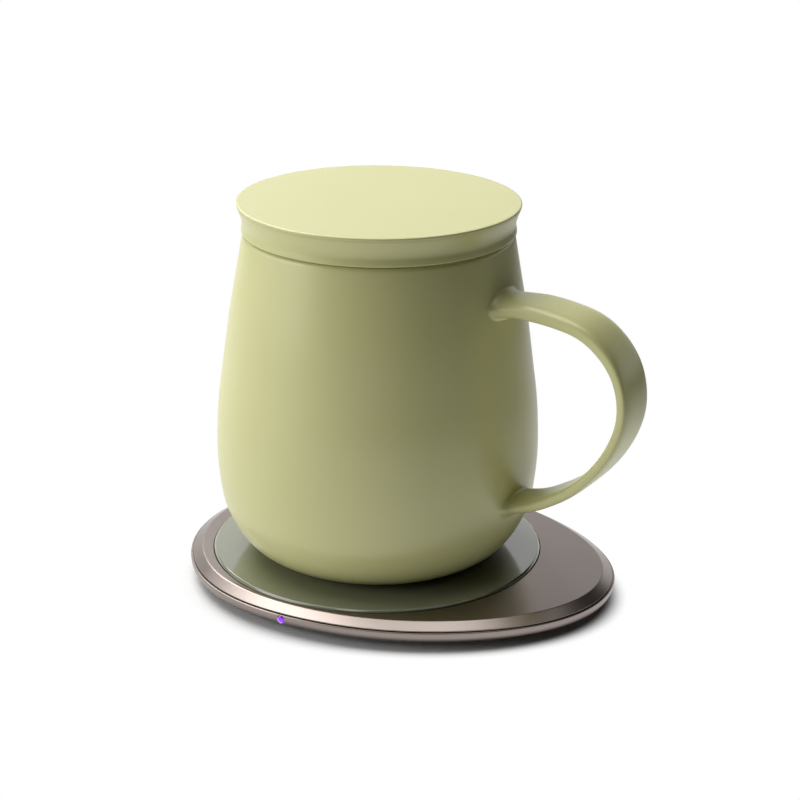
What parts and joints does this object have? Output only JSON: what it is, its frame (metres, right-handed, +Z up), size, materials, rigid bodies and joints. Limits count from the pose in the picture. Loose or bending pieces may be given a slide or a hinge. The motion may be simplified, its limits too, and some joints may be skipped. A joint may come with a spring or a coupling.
{
  "type": "self heating mug",
  "caption": "Lidded ceramic mug with a flat ribbon handle, standing on a flat pebble-shaped metal warming pad with a round translucent seat and a status light.",
  "frame": {"origin": "on the table, on the vertical axis that the mug and its round plate share", "axes": "+X along the pad's long axis towards its narrow tip, +Z up; the mug's handle points 5.5 degrees to the right of +X, and the status light faces -Y"},
  "size_m": [0.1372, 0.105, 0.1124],
  "materials": {
    "matte_glaze": "smooth matte glaze, pale yellow-green",
    "anodised_metal": "bead-blasted and anodised, warm gunmetal",
    "tinted_plate": "polished, back-tinted grey-green",
    "black_plastic": "moulded, fine texture",
    "black_rubber": "matte",
    "clear_silicone": "milky, satin",
    "bright_steel": "plated",
    "copper": "bright, lacquered",
    "metal_foil": "rolled foil",
    "ferrite": "sintered, dark grey",
    "mica_sheet": "pressed sheet",
    "circuit_board": "solder mask, green",
    "chip_resin": "moulded resin",
    "capacitor_case": "dipped, brown",
    "violet_lens": "clear lens lit violet from behind"
  },
  "bodies": {
    "warmer": {"top_cover": "anodised_metal", "side_band": "anodised_metal", "seam_gasket": "black_rubber", "mug_plate": "tinted_plate", "plate_gasket": "black_rubber", "mid_frame": "black_plastic", "bottom_cover": "black_plastic", "foot_pad": "black_rubber", "coil_holder": "black_plastic", "shield_plate": "metal_foil", "ferrite_disc": "ferrite", "induction_coil": "copper", "insulation_sheet": "mica_sheet", "temperature_sensor": "bright_steel", "coil_lead_outer": "copper", "coil_lead_inner": "copper", "main_board": "circuit_board", "power_chip": "chip_resin", "control_chip": "chip_resin", "power_choke": "ferrite", "status_led": "clear_silicone", "driver_transistor_1": "chip_resin", "driver_transistor_2": "chip_resin", "resonant_capacitor_1": "capacitor_case", "resonant_capacitor_2": "capacitor_case", "resonant_capacitor_3": "capacitor_case", "socket_shell": "bright_steel", "socket_tongue": "black_plastic", "status_lens": "violet_lens", "cover_screw_1": "bright_steel", "cover_screw_2": "bright_steel", "cover_screw_3": "bright_steel", "cover_screw_4": "bright_steel", "cover_screw_5": "bright_steel"},
    "mug": {"mug_body": "matte_glaze", "mug_base_cover": "matte_glaze", "mug_base_sheet": "mica_sheet", "heating_film": "metal_foil"},
    "lid": {"lid_body": "matte_glaze", "lid_seal": "clear_silicone"}
  },
  "joints": [
    {"name": "mug_lift", "type": "slide", "parent": "warmer", "child": "mug", "axis": [0, 0, 1], "range_m": [0, 0.08]},
    {"name": "lid_lift", "type": "slide", "parent": "mug", "child": "lid", "axis": [0, 0, 1], "range_m": [0, 0.06]}
  ]
}
